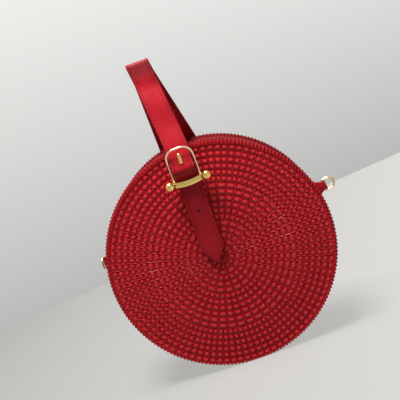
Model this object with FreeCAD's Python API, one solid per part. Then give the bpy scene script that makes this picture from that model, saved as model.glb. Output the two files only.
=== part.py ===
import FreeCAD, Part
import math
import os

# Round handbag: two stiff woven-look discs joined by a leather gusset, a zip over the top,
# a folded strap handle held at the front by a horseshoe buckle, and two strap rings.
# Millimetres. +X is the bag's right seen from the front, -Y the front, +Z up, floor at z = 0.

# Discs and drum
panel_radius = 95.0
rim_depth = 60.0            # front rim face to back rim face
panel_thickness = 3.0
panel_crown = 2.5           # how far each disc bulges at its middle
border_width = 7.0          # flat border round each disc
standing_flat = 1.0         # the rims are pressed this flat where the bag stands
board_thickness = 1.5
lining_thickness = 0.8
layer_gap = 0.1             # between layers that are glued or sewn together
rim_overhang = 3.0          # the discs stand this proud of the gusset
gusset_thickness = 2.0

# Zip, angles in degrees from the top of the drum
zip_half_angle = 104.0
zip_opening = 14.0          # tape left showing between the two leather strips
seam_overlap = 8.0          # tape sewn under each strip
tape_thickness = 0.8
teeth_slot = 1.2            # between the two rows of teeth
tooth_reach = 1.3
tooth_rail = 0.9
tooth_height = 3.0
tooth_pitch = 3.2
tooth_width = 1.6
slider_length = 9.0
slider_width = 8.8
slider_plate = 1.2
slider_clearance = 0.3
slider_flange = 0.8
slider_post = 0.7
slider_post_length = 3.0
stop_length = 2.0
stop_height = 1.0
stop_gap = 1.0              # between the parked slider and its stop
pull_pin_radius = 0.6
pull_ear = 1.0
pull_width = 3.8
pull_length = 20.0
pull_thickness = 1.2
pull_eye_wall = 0.7
pin_clearance = 0.06

# Strap and handle
strap_width = 19.2
strap_shift = -4.4          # sideways place of the strap and buckle on the discs
strap_thickness = 2.4
tail_length = 83.5          # pointed end to the buckle's centre bar
strap_point = 12.0          # length of the pointed end
strap_hole_radius = 1.3
strap_hole_drop = 38.5      # under the centre bar
handle_rise = 73.5          # top of the fold over the rim
handle_lean = 6.9           # degrees that the handle leans to the left
fold_radius = 3.0
fold_clearance = 1.8        # the fold is open here, where the two legs turn against each other
leg_slope = 21.5            # degrees from upright of the front leg
joint_clearance = 0.2       # between strap lengths that bend against each other
bend_above_frame = 1.6      # the front leg bends this far over the buckle's frame
back_leg_width = 34.0
back_leg_shift = -2.1       # the back leg's foot to the side of the strap's middle
back_bend_radius = 8.0
base_height = 45.0          # length of the strap sewn to the back disc
lay_clearance = 0.3         # between soft pieces that lie on each other

# Buckle
bar_below_rim = 15.5        # centre bar under the top of the rim
bar_radius = 1.0
bit_drop = 12.2             # curved bar under the centre bar
bit_width = 4.2
bit_thickness = 2.0
bit_sag = 1.4
bit_clearance = 1.2         # the strap passes under the curved bar
frame_rise = 15.5           # top of the frame over the centre bar
frame_wire = 0.85           # radius
frame_side_gap = 0.3        # between strap edge and frame
frame_corner = 8.2
frame_bend = 3.0            # radius where the frame's sides bend forward at the centre bar
stub_radius = 1.2
bit_overhang = 0.45         # of the bit bar past the middle of the frame wires
ball_radius = 3.9
ball_gap = 0.15
loop_width = 12.0
loop_thickness = 1.0
loop_length = 33.5          # the loop is sewn down this far under the centre bar
loop_bar_gap = 0.15
loop_straight = 9.5         # the loop leaves the disc this far under the centre bar
prong_width = 2.4
prong_thickness = 1.6
prong_eye_wall = 1.0
prong_short = 4.3           # the tip stops this far under the top of the frame
prong_slot_gap = 0.55
prong_slot_height = 6.2

# Strap rings, in the seam of the back disc
ring_angle = 81.0
ring_wire = 1.0
ring_inside_width = 8.0
ring_reach = 9.7            # bar to the far side, wire centres
ring_corner = 1.8
ring_bar_out = 8.0          # the ring's bar outside the rim
left_ring_swing = 78.0      # the left ring lies swung forward
tab_thickness = 1.0
tab_width = 7.2
tab_base_width = 17.0
tab_ring_gap = 0.3
seat_gap = 0.05

# Worked out from the sizes above
axis_z = panel_radius - standing_flat
half_depth = rim_depth / 2
crown_radius = panel_radius - border_width
gusset_outer = panel_radius - rim_overhang
gusset_inner = gusset_outer - gusset_thickness
inside_y = half_depth - panel_thickness
tape_outer = gusset_inner - layer_gap
tape_inner = tape_outer - tape_thickness
tape_middle = (tape_outer + tape_inner) / 2
teeth_edge = teeth_slot / 2 + tooth_reach + tooth_rail
tape_edge = zip_opening / 2 + seam_overlap
slider_low = tape_middle - tooth_height / 2 - slider_clearance
slider_high = tape_middle + tooth_height / 2 + slider_clearance
slider_span = math.degrees(slider_length / gusset_outer)
stop_span = math.degrees(stop_length / tape_outer)
end_margin = math.degrees(stop_gap / tape_outer)
stop_angle = zip_half_angle - end_margin - stop_span / 2
slider_park = stop_angle - stop_span / 2 - end_margin - slider_span / 2
teeth_end = slider_park - slider_span / 2 - end_margin
pull_pin_radius_out = slider_high + slider_plate + pull_pin_radius + pull_eye_wall + 2 * pin_clearance
bar_height = panel_radius - bar_below_rim       # heights are from the drum's axis
bit_height = bar_height - bit_drop
frame_top_height = bar_height + frame_rise
prong_tip_height = frame_top_height - prong_short
loop_low_height = bar_height - loop_length
strap_tip_height = bar_height - tail_length
handle_height = panel_radius + handle_rise
ring_bar_radius = panel_radius + ring_bar_out
hinge_y = -inside_y
hinge_z = axis_z + gusset_outer * math.cos(math.radians(zip_half_angle))


def crown_y(height):
    """Distance of a disc's outer face from the middle plane, at a height from the axis."""
    sphere = (crown_radius ** 2 + panel_crown ** 2) / (2 * panel_crown)
    drop = sphere - math.sqrt(sphere ** 2 - height ** 2)
    return half_depth + panel_crown - drop


# The strap's stack of layers in front of the front disc
loop_back = crown_y(loop_low_height) + lay_clearance
loop_front = loop_back + 2 * loop_thickness + layer_gap
tail_low = crown_y(0) + lay_clearance
tail_slope = (loop_front + lay_clearance - tail_low) / (loop_low_height - strap_tip_height)


def tail_back(height):
    """Distance of the strap tail's back face from the middle plane."""
    return tail_low + tail_slope * (height - strap_tip_height)


frame_y = -(tail_back(bit_height) + strap_thickness + bit_clearance + bit_thickness / 2)
loop_radius = bar_radius + loop_bar_gap + loop_thickness / 2
bend_radius = loop_radius + loop_thickness / 2 + lay_clearance + strap_thickness / 2
frame_half = strap_width / 2 + frame_side_gap + frame_wire

# The frame's upper half leans forward, so that its round corners clear the strap that passes under them
under_frame = bend_radius + strap_thickness / 2 + lay_clearance + frame_wire
corner_reach = strap_width / 2 + frame_wire - (frame_half - frame_corner)
corner_height = frame_rise - frame_corner + math.sqrt(frame_corner ** 2 - corner_reach ** 2)
steepness = under_frame / corner_height - math.sin(math.radians(leg_slope))
frame_forward = frame_rise * steepness / math.cos(math.radians(leg_slope))
bar_point = (frame_y, bar_height)


def vec(y, height, x=0.0):
    """A point given by its depth, its height from the axis and its side place."""
    return FreeCAD.Vector(x, y, axis_z + height)


def rounded_edges(points, radii, closed=False):
    """Edges of a path of straight runs joined by tangent arcs."""
    count = len(points)
    corners = range(count) if closed else range(1, count - 1)
    entry = [points[i] for i in range(count)]
    leave = [points[i] for i in range(count)]
    arcs = {}
    for i in corners:
        radius = radii[i]
        if radius <= 0:
            continue
        before = (points[i] - points[i - 1]).normalize()
        after = (points[(i + 1) % count] - points[i]).normalize()
        turn = before.getAngle(after)
        reach = radius * math.tan(turn / 2)
        inward = (after - before).normalize()
        entry[i] = points[i] - before * reach
        leave[i] = points[i] + after * reach
        arcs[i] = points[i] + inward * (radius / math.cos(turn / 2) - radius)
    edges = []
    for i in range(count):
        if i in arcs:
            edges.append(Part.Arc(entry[i], arcs[i], leave[i]).toShape())
        following = (i + 1) % count
        last = i == count - 1 and not closed
        if not last and leave[i].distanceToPoint(entry[following]) > 1e-4:
            edges.append(Part.LineSegment(leave[i], entry[following]).toShape())
    return edges


def face_of(edges):
    return Part.Face(Part.Wire(Part.__sortEdges__(edges)))


def band(points, radii, thickness, width):
    """A strip of even thickness that follows a path in the YZ plane, across the X axis."""
    half = thickness / 2
    sides = []
    for sign in (1, -1):
        offset = []
        offset_radii = []
        for i, (y, height) in enumerate(points):
            normals = []
            for a, b in ((i - 1, i), (i, i + 1)):
                if a >= 0 and b < len(points):
                    dy = points[b][0] - points[a][0]
                    dz = points[b][1] - points[a][1]
                    length = math.hypot(dy, dz)
                    normals.append((-dz / length, dy / length))
            if len(normals) == 1:
                shift = normals[0]
                radius = 0.0
            else:
                (ay, az), (by, bz) = normals
                scale = 1 + ay * by + az * bz
                shift = ((ay + by) / scale, (az + bz) / scale)
                turn_left = ay * bz - az * by > 0
                radius = radii[i] + (-half if turn_left == (sign > 0) else half)
            offset.append(vec(y + sign * half * shift[0], height + sign * half * shift[1]))
            offset_radii.append(radius)
        sides.append((offset, offset_radii))
    (left, left_radii), (right, right_radii) = sides
    edges = rounded_edges(left, left_radii) + rounded_edges(right, right_radii)
    edges.append(Part.LineSegment(left[0], right[0]).toShape())
    edges.append(Part.LineSegment(left[-1], right[-1]).toShape())
    solid = face_of(edges).extrude(FreeCAD.Vector(width, 0, 0))
    solid.translate(FreeCAD.Vector(-width / 2, 0, 0))
    return solid


def outline_prism(points, y_from, y_to):
    """A straight-sided prism along Y with an outline of (x, height) points."""
    corners = [vec(y_from, height, x) for x, height in points]
    wire = Part.makePolygon(corners + corners[:1])
    return Part.Face(wire).extrude(FreeCAD.Vector(0, y_to - y_from, 0))


def on_drum(radius, angle, y):
    turn = math.radians(angle)
    return FreeCAD.Vector(radius * math.sin(turn), y, axis_z + radius * math.cos(turn))


def drum_sector(inner, outer, y_from, y_to, start, end):
    """A piece of a ring round the drum's axis, between two angles from the top."""
    middle = (start + end) / 2
    edges = []
    for radius in (inner, outer):
        marks = [on_drum(radius, angle, y_from) for angle in (start, middle, end)]
        edges.append(Part.Arc(*marks).toShape())
    for angle in (start, end):
        ends = [on_drum(radius, angle, y_from) for radius in (inner, outer)]
        edges.append(Part.LineSegment(*ends).toShape())
    return face_of(edges).extrude(FreeCAD.Vector(0, y_to - y_from, 0))


def drum_turn(shape, angle):
    shape.rotate(FreeCAD.Vector(0, 0, axis_z), FreeCAD.Vector(0, 1, 0), angle)
    return shape


def wire_solid(edges, radius):
    """A round wire along a path that starts on a straight run."""
    path = Part.Wire(edges)
    first = edges[0]
    start = first.valueAt(first.FirstParameter)
    along = first.tangentAt(first.FirstParameter)
    disc = Part.Face(Part.Wire(Part.Circle(start, along, radius).toShape()))
    return path.makePipe(disc)


def bar_along_x(radius, y, height, x_from, x_to):
    start = vec(y, height, x_from)
    return Part.makeCylinder(radius, x_to - x_from, start, FreeCAD.Vector(1, 0, 0))


# Discs: side is -1 for the front and 1 for the back

def dished_disc(side, depth, thickness, radius, border):
    """A disc with a flat border and a crowned middle, its outer border face at a depth."""
    edge = radius - border
    outer = []
    inner = []
    for share in (0.0, 0.5, 1.0):
        rise = crown_y(share * edge) - half_depth
        outer.append(vec(side * (depth + rise), share * edge))
        inner.append(vec(side * (depth + rise - thickness), share * edge))
    edges = [Part.Arc(*outer).toShape(), Part.Arc(*inner).toShape()]
    rim = [outer[2]]
    if border > 0:
        rim += [vec(side * depth, radius), vec(side * (depth - thickness), radius)]
    rim.append(inner[2])
    for a, b in zip(rim, rim[1:]):
        edges.append(Part.LineSegment(a, b).toShape())
    edges.append(Part.LineSegment(outer[0], inner[0]).toShape())
    centre = FreeCAD.Vector(0, 0, axis_z)
    return face_of(edges).revolve(centre, FreeCAD.Vector(0, 1, 0), 360)


def panel(side):
    disc = dished_disc(side, half_depth, panel_thickness, panel_radius, border_width)
    floor = Part.makeBox(4 * panel_radius, 4 * rim_depth, panel_radius)
    floor.translate(FreeCAD.Vector(-2 * panel_radius, -2 * rim_depth, -panel_radius))
    return disc.cut(floor)


def board(side):
    return dished_disc(side, inside_y - layer_gap, board_thickness, crown_radius, 0)


def lining(side):
    depth = inside_y - 2 * layer_gap - board_thickness
    return dished_disc(side, depth, lining_thickness, crown_radius, 0)


# Gusset and zip

def bottom_gusset():
    edge = inside_y - layer_gap
    return drum_sector(gusset_inner, gusset_outer, -edge, edge, zip_half_angle, 360 - zip_half_angle)


def gusset_lining():
    edge = inside_y - layer_gap
    outer = gusset_inner - layer_gap
    return drum_sector(outer - lining_thickness, outer, -edge, edge, zip_half_angle, 360 - zip_half_angle)


def zip_strip(side):
    end = zip_half_angle - math.degrees(joint_clearance / gusset_outer)
    y_from, y_to = sorted((side * zip_opening / 2, side * inside_y))
    return drum_sector(gusset_inner, gusset_outer, y_from, y_to, -end, end)


def zip_tape(side):
    end = zip_half_angle - math.degrees(joint_clearance / gusset_outer)
    y_from, y_to = sorted((side * teeth_edge, side * tape_edge))
    return drum_sector(tape_inner, tape_outer, y_from, y_to, -end, end)


def zip_teeth(side):
    low = tape_middle - tooth_height / 2
    rail_low = tape_inner - layer_gap
    rail_high = tape_outer + layer_gap
    y_from, y_to = sorted((side * (teeth_edge - tooth_rail), side * teeth_edge))
    rail = drum_sector(rail_low, rail_high, y_from, y_to, -teeth_end, teeth_end)
    pitch = math.degrees(tooth_pitch / tape_middle)
    half_tooth = math.degrees(tooth_width / tape_middle) / 2
    last = int((teeth_end - half_tooth) / pitch)
    y_from, y_to = sorted((side * teeth_slot / 2, side * teeth_edge))
    teeth = []
    for index in range(-last, last + 1):
        middle = index * pitch
        teeth.append(drum_sector(low, low + tooth_height, y_from, y_to, middle - half_tooth, middle + half_tooth))
    return rail.multiFuse(teeth).removeSplitter()


def zip_stops():
    stops = []
    for angle in (-stop_angle, stop_angle):
        low = tape_outer + seat_gap
        near = teeth_edge
        stops.append(drum_sector(low, low + stop_height, near, near + stop_length,
                                 angle - stop_span / 2, angle + stop_span / 2))
    return Part.makeCompound(stops)


def zip_slider():
    start = slider_park - slider_span / 2
    end = slider_park + slider_span / 2
    half = slider_width / 2
    top = drum_sector(slider_high, slider_high + slider_plate, -half, half, start, end)
    bottom = drum_sector(slider_low - slider_plate, slider_low, -half, half, start, end)
    post_span = math.degrees(slider_post_length / gusset_outer)
    post = drum_sector(slider_low, slider_high, -slider_post / 2, slider_post / 2, start, start + post_span)
    pieces = [bottom, post]
    for side in (-1, 1):
        y_from, y_to = sorted((side * half, side * (half - slider_flange)))
        pieces.append(drum_sector(tape_outer + slider_clearance, slider_high, y_from, y_to, start, end))
        inner_ear = pull_width / 2 + slider_clearance
        y_from, y_to = sorted((side * inner_ear, side * (inner_ear + pull_ear)))
        ear_span = math.degrees((pull_pin_radius + pull_eye_wall) / gusset_outer)
        ear_top = pull_pin_radius_out + pull_pin_radius + pull_eye_wall
        pieces.append(drum_sector(slider_high, ear_top, y_from, y_to, slider_park - ear_span, slider_park + ear_span))
    pin_start = on_drum(pull_pin_radius_out, slider_park, -pull_width / 2 - slider_clearance)
    pin_length = pull_width + 2 * slider_clearance
    pieces.append(Part.makeCylinder(pull_pin_radius, pin_length, pin_start, FreeCAD.Vector(0, 1, 0)))
    return top.multiFuse(pieces).removeSplitter()


def zip_pull():
    """A flat tab that hangs straight down from the slider's pin."""
    start = on_drum(pull_pin_radius_out, slider_park, -pull_width / 2)
    outer = pull_pin_radius + pin_clearance + pull_eye_wall
    along = FreeCAD.Vector(0, 1, 0)
    eye = Part.makeCylinder(outer, pull_width, start, along)
    tab = Part.makeBox(pull_thickness, pull_width, pull_length)
    tab.translate(start + FreeCAD.Vector(-pull_thickness / 2, 0, -pull_length))
    rounded = [edge for edge in tab.Edges
               if abs(edge.CenterOfMass.z - (start.z - pull_length)) < 0.01
               and abs(abs(edge.CenterOfMass.y) - pull_width / 2) < 0.01]
    tab = tab.makeFillet(pull_width / 2.6, rounded)
    bore = Part.makeCylinder(pull_pin_radius + pin_clearance, pull_width, start, along)
    return eye.fuse(tab).cut(bore).removeSplitter()


# Strap and handle: one path from the pointed end up over the buckle, round the fold and down the back

def strap_path():
    """Path points as (y, height), with the radius of each corner."""
    half = strap_thickness / 2
    tip = (-(tail_back(strap_tip_height) + half), strap_tip_height)
    rise_height = bit_height + bit_width / 2 + bit_clearance / 2
    rise = (-(tail_back(rise_height) + half), rise_height)
    to_bar_y = bar_point[0] - rise[0]
    to_bar_z = bar_point[1] - rise[1]
    distance = math.hypot(to_bar_y, to_bar_z)
    heading = math.atan2(to_bar_z, to_bar_y) + math.asin(bend_radius / distance)
    rise_normal = (-math.sin(heading), math.cos(heading))
    slope = math.radians(leg_slope)
    leg_normal = (-math.cos(slope), math.sin(slope))
    scale = bend_radius / (1 + rise_normal[0] * leg_normal[0] + rise_normal[1] * leg_normal[1])
    bend = (bar_point[0] + scale * (rise_normal[0] + leg_normal[0]),
            bar_point[1] + scale * (rise_normal[1] + leg_normal[1]))
    foot = (half_depth + lay_clearance + strap_thickness * 0.8, panel_radius)
    run = handle_height - half - bend[1]
    fold_y = bend[0] + run * math.tan(slope)
    for _ in range(6):
        back_slope = math.atan2(foot[0] - fold_y, handle_height - half - foot[1])
        inside = (slope + back_slope) / 2
        rise_to_corner = fold_radius * (1 / math.sin(inside) - 1) * math.cos((slope - back_slope) / 2)
        corner_height = handle_height - half + rise_to_corner
        fold_y = bend[0] + (corner_height - bend[1]) * math.tan(slope)
    fold = (fold_y, corner_height)
    low = panel_radius - base_height
    end = (crown_y(low) + lay_clearance + half + layer_gap, low)
    points = [tip, rise, bend, fold, foot, end]
    radii = [0, strap_thickness * 2, bend_radius, fold_radius, back_bend_radius, 0]
    return points, radii


path_points, path_radii = strap_path()
fold_place = path_points[3][0]
foot_place = path_points[4]
bend_height = frame_top_height + frame_wire + bend_above_frame


def leaned(x, height):
    """A point of the handle turned sideways about the bend over the buckle."""
    turn = math.radians(handle_lean)
    rise = height - bend_height
    return (x * math.cos(turn) - rise * math.sin(turn), bend_height + x * math.sin(turn) + rise * math.cos(turn))


def full_strap():
    return band(path_points, path_radii, strap_thickness, 4 * strap_width)


def strap_tail():
    half = strap_width / 2
    low = strap_tip_height
    high = bend_height - joint_clearance / 2
    outline = [(0, low), (half, low + strap_point), (half, high), (-half, high), (-half, low + strap_point)]
    tail = full_strap().common(outline_prism(outline, -rim_depth, 0))
    slot = prong_width / 2 + prong_slot_gap
    slot_low = bar_height - slot
    slot_high = bar_height + prong_slot_height
    slot_outline = [(-slot, slot_low), (slot, slot_low), (slot, slot_high), (-slot, slot_high)]
    tail = tail.cut(outline_prism(slot_outline, -rim_depth, -half_depth))
    start = vec(-rim_depth, bar_height - strap_hole_drop)
    return tail.cut(Part.makeCylinder(strap_hole_radius, rim_depth, start, FreeCAD.Vector(0, 1, 0)))


def handle_front_leg():
    half = strap_width / 2
    low = bend_height + joint_clearance / 2
    high = handle_height + strap_width
    slant = half * math.tan(math.radians(handle_lean)) + joint_clearance
    outline = [leaned(half, high), leaned(-half, high), leaned(-half, bend_height + slant),
               (-half, low), (half, low), leaned(half, bend_height + slant)]
    return full_strap().common(outline_prism(outline, -rim_depth, fold_place - fold_clearance / 2))


def handle_back_leg():
    half = strap_width / 2
    foot_half = back_leg_width / 2
    low = foot_place[1] + joint_clearance / 2
    high = handle_height + strap_width
    outline = [leaned(half, high), leaned(-half, high), leaned(-half, handle_height - strap_width / 2),
               (back_leg_shift - foot_half, low), (back_leg_shift + foot_half, low),
               leaned(half, handle_height - strap_width / 2)]
    return full_strap().common(outline_prism(outline, fold_place + fold_clearance / 2, rim_depth))


def handle_base():
    foot_half = back_leg_width / 2
    high = foot_place[1] - joint_clearance / 2
    low = panel_radius - base_height
    chamfer = foot_half / 2
    outline = [(back_leg_shift - foot_half, high), (back_leg_shift + foot_half, high),
               (back_leg_shift + foot_half, low + chamfer), (back_leg_shift + chamfer, low),
               (back_leg_shift - chamfer, low), (back_leg_shift - foot_half, low + chamfer)]
    return full_strap().common(outline_prism(outline, 0, rim_depth))


# Buckle

def buckle_loop():
    """A leather strip folded round the centre bar, its two ends sewn to the front disc as one."""
    stack = 2 * loop_thickness + layer_gap
    middle = -(loop_back + stack / 2)
    points = [(middle, loop_low_height), (middle, bar_height - loop_straight), bar_point]
    strip = band(points, [0, stack, 0], stack, loop_width)
    half = loop_width / 2
    inner = bar_radius + loop_bar_gap
    eye = bar_along_x(inner + loop_thickness, frame_y, bar_height, -half, half)
    bore = bar_along_x(inner, frame_y, bar_height, -half, half)
    slot = prong_width / 2 + prong_slot_gap
    high = bar_height + 4 * loop_radius
    low = bar_height - loop_straight / 2
    gap_outline = [(-slot, low), (slot, low), (slot, high), (-slot, high)]
    return eye.fuse(strip).cut(bore).cut(outline_prism(gap_outline, -rim_depth, 0)).removeSplitter()


def buckle_frame():
    low = bit_height + bit_width / 2 + seat_gap
    top_y = frame_y - frame_forward
    points = [vec(frame_y, low, -frame_half), vec(frame_y, bar_height, -frame_half),
              vec(top_y, frame_top_height, -frame_half), vec(top_y, frame_top_height, frame_half),
              vec(frame_y, bar_height, frame_half), vec(frame_y, low, frame_half)]
    return wire_solid(rounded_edges(points, [0, frame_bend, frame_corner, frame_corner, frame_bend, 0]), frame_wire)


def bit_bar():
    """A flat curved bar with a round stub at each end."""
    reach = frame_half + bit_overhang
    high = bit_height + bit_width / 2
    low = bit_height - bit_width / 2
    edges = []
    for height in (high, low):
        sag = 0 if height == high else bit_sag
        marks = [vec(frame_y - bit_thickness / 2, height - drop, x)
                 for x, drop in ((-reach, 0), (0, sag), (reach, 0))]
        if sag:
            edges.append(Part.Arc(*marks).toShape())
        else:
            edges.append(Part.LineSegment(marks[0], marks[2]).toShape())
    for x in (-reach, reach):
        ends = [vec(frame_y - bit_thickness / 2, height, x) for height in (high, low)]
        edges.append(Part.LineSegment(*ends).toShape())
    plate = face_of(edges).extrude(FreeCAD.Vector(0, bit_thickness, 0))
    stubs = bar_along_x(min(stub_radius, bit_thickness / 2), frame_y, bit_height,
                        -reach - ball_gap, reach + ball_gap)
    return plate.fuse(stubs).removeSplitter()


def ball_ends():
    balls = []
    reach = frame_half + bit_overhang + ball_gap
    for side in (-1, 1):
        ball = Part.makeSphere(ball_radius, vec(frame_y, bit_height, side * (reach + ball_radius)))
        balls.append(ball)
    return Part.makeCompound(balls)


def centre_bar():
    reach = frame_half - frame_wire - seat_gap
    return bar_along_x(bar_radius, frame_y, bar_height, -reach, reach)


def prong():
    """A tongue on an eye round the centre bar, out through the strap and up its front."""
    half = prong_width / 2
    eye_outer = bar_radius + pin_clearance + prong_eye_wall
    eye = bar_along_x(eye_outer, frame_y, bar_height, -half, half)
    slope = math.radians(leg_slope)
    away = bend_radius + strap_thickness / 2 + lay_clearance + prong_thickness / 2
    line = (frame_y - away * math.cos(slope), bar_height + away * math.sin(slope))
    along = (prong_tip_height - line[1]) / math.cos(slope)
    tip = (line[0] + along * math.sin(slope), prong_tip_height)
    knee = (line[0] + 0.2 * along * math.sin(slope), line[1] + 0.2 * along * math.cos(slope))
    points = [(frame_y, bar_height), knee, tip]
    tongue = band(points, [0, prong_thickness, 0], prong_thickness, prong_width)
    bore = bar_along_x(bar_radius + pin_clearance, frame_y, bar_height, -half, half)
    return eye.fuse(tongue).cut(bore).removeSplitter()


# Strap rings and their tabs, made at the top of the drum and turned round to their places

def ring_depth():
    return inside_y - seat_gap - tab_thickness - tab_ring_gap - ring_wire


def strap_ring(side, swing):
    half = ring_inside_width / 2 + ring_wire
    y = ring_depth()
    far = ring_bar_radius + ring_reach
    points = [vec(y, ring_bar_radius), vec(y, ring_bar_radius, half), vec(y, far, half),
              vec(y, far, -half), vec(y, ring_bar_radius, -half)]
    ring = wire_solid(rounded_edges(points, [0, ring_corner, half, half, ring_corner], True), ring_wire)
    ring.rotate(vec(y, ring_bar_radius), FreeCAD.Vector(1, 0, 0), swing)
    return drum_turn(ring, side * ring_angle)


def ring_tab(side):
    spread = ring_wire + tab_ring_gap + tab_thickness / 2
    y = ring_depth()
    top = ring_bar_radius + spread
    low = gusset_outer - rim_overhang
    points = [(y - spread, low), (y - spread, top), (y + spread, top), (y + spread, low)]
    strip = band(points, [0, spread, spread, 0], tab_thickness, 2 * tab_base_width)
    wide = tab_base_width / 2
    narrow = tab_width / 2
    outline = [(-wide, gusset_outer), (wide, gusset_outer), (narrow, ring_bar_radius - ring_wire),
               (narrow, top + spread), (-narrow, top + spread), (-narrow, ring_bar_radius - ring_wire)]
    strip = strip.common(outline_prism(outline, 0, rim_depth))
    drum = Part.makeCylinder(gusset_outer + seat_gap, rim_depth, FreeCAD.Vector(0, 0, axis_z), FreeCAD.Vector(0, 1, 0))
    return drum_turn(strip.cut(drum), side * ring_angle)


def beside(shape):
    """A piece of the strap or buckle, made at the middle of the discs, moved to the strap's place."""
    return shape.translated(FreeCAD.Vector(strap_shift, 0, 0))


nodes = {
    "front_panel": panel(-1),
    "front_board": board(-1),
    "front_lining": lining(-1),
    "back_panel": panel(1),
    "back_board": board(1),
    "back_lining": lining(1),
    "bottom_gusset": bottom_gusset(),
    "gusset_lining": gusset_lining(),
    "zip_strip_front": zip_strip(-1),
    "zip_strip_back": zip_strip(1),
    "zip_tape_front": zip_tape(-1),
    "zip_tape_back": zip_tape(1),
    "zip_teeth_front": zip_teeth(-1),
    "zip_teeth_back": zip_teeth(1),
    "zip_stops": zip_stops(),
    "zip_slider": zip_slider(),
    "zip_pull": zip_pull(),
    "strap_tail": beside(strap_tail()),
    "handle_front_leg": beside(handle_front_leg()),
    "handle_back_leg": beside(handle_back_leg()),
    "handle_base": beside(handle_base()),
    "buckle_loop": beside(buckle_loop()),
    "buckle_frame": beside(buckle_frame()),
    "bit_bar": beside(bit_bar()),
    "ball_ends": beside(ball_ends()),
    "centre_bar": beside(centre_bar()),
    "prong": beside(prong()),
    "left_tab": ring_tab(-1),
    "right_tab": ring_tab(1),
    "left_ring": strap_ring(-1, left_ring_swing),
    "right_ring": strap_ring(1, 0),
}

os.makedirs("parts", exist_ok=True)
for name, shape in nodes.items():
    shape.exportStep("parts/" + name + ".step")
    box = shape.BoundBox
    print(name, "valid" if shape.isValid() else "NOT VALID", "solids", len(shape.Solids),
          "volume", round(shape.Volume, 1), "box", [round(v, 2) for v in
          (box.XMin, box.XMax, box.YMin, box.YMax, box.ZMin, box.ZMax)])
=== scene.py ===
import bpy
import bmesh
import numpy as np
from mathutils import Matrix


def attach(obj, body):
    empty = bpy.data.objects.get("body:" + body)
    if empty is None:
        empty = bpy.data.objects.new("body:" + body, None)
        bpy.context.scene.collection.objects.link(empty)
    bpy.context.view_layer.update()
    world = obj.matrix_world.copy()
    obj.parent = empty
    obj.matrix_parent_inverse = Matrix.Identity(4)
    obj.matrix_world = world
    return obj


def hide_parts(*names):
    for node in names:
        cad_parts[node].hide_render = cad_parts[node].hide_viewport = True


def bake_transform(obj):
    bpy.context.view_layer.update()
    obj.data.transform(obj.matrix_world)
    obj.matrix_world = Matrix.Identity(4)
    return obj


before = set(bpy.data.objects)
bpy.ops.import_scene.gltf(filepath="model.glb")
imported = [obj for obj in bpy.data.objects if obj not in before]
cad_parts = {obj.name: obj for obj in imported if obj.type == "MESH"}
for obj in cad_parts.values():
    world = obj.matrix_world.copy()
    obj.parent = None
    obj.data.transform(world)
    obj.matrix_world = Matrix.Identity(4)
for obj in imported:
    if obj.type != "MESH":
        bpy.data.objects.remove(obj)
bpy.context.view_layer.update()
mm = 0.001
axisZ = 94.0   # height of the drum's axis over the floor; shapes are in millimetres, the stage in metres
fullTurn = 2 * np.pi
print("frame loaded,", len(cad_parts), "nodes")


# Shader sums

def mathMethod(kind, swapped=False):
    # a method that adds one Math node, fed with its own value first, or last if swapped
    def method(own, *others):
        values = (*others, own) if swapped else (own, *others)
        return own.finish.num("ShaderNodeMath", {"operation": kind}, dict(enumerate(values)))
    return method


class Num:
    # a value socket; every operator adds one Math node to the finish it belongs to
    def __init__(self, finish, socket):
        self.finish = finish
        self.socket = socket

    __add__ = mathMethod("ADD")
    __radd__ = mathMethod("ADD", swapped=True)
    __sub__ = mathMethod("SUBTRACT")
    __rsub__ = mathMethod("SUBTRACT", swapped=True)
    __mul__ = mathMethod("MULTIPLY")
    __rmul__ = mathMethod("MULTIPLY", swapped=True)
    __truediv__ = mathMethod("DIVIDE")
    __pow__ = mathMethod("POWER")
    size = mathMethod("ABSOLUTE")
    most = mathMethod("MAXIMUM")
    fraction = mathMethod("FRACT")
    angle = mathMethod("ARCTAN2")   # its sine goes with the first value, its cosine with the second
    over = mathMethod("GREATER_THAN")
    under = mathMethod("LESS_THAN")

    def between(self, low, high):
        # 0 under low, 1 over high, a smooth step between
        return self.finish.num("ShaderNodeMapRange", {"interpolation_type": "SMOOTHSTEP"},
                               {"Value": self, "From Min": low, "From Max": high}, "Result")


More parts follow.
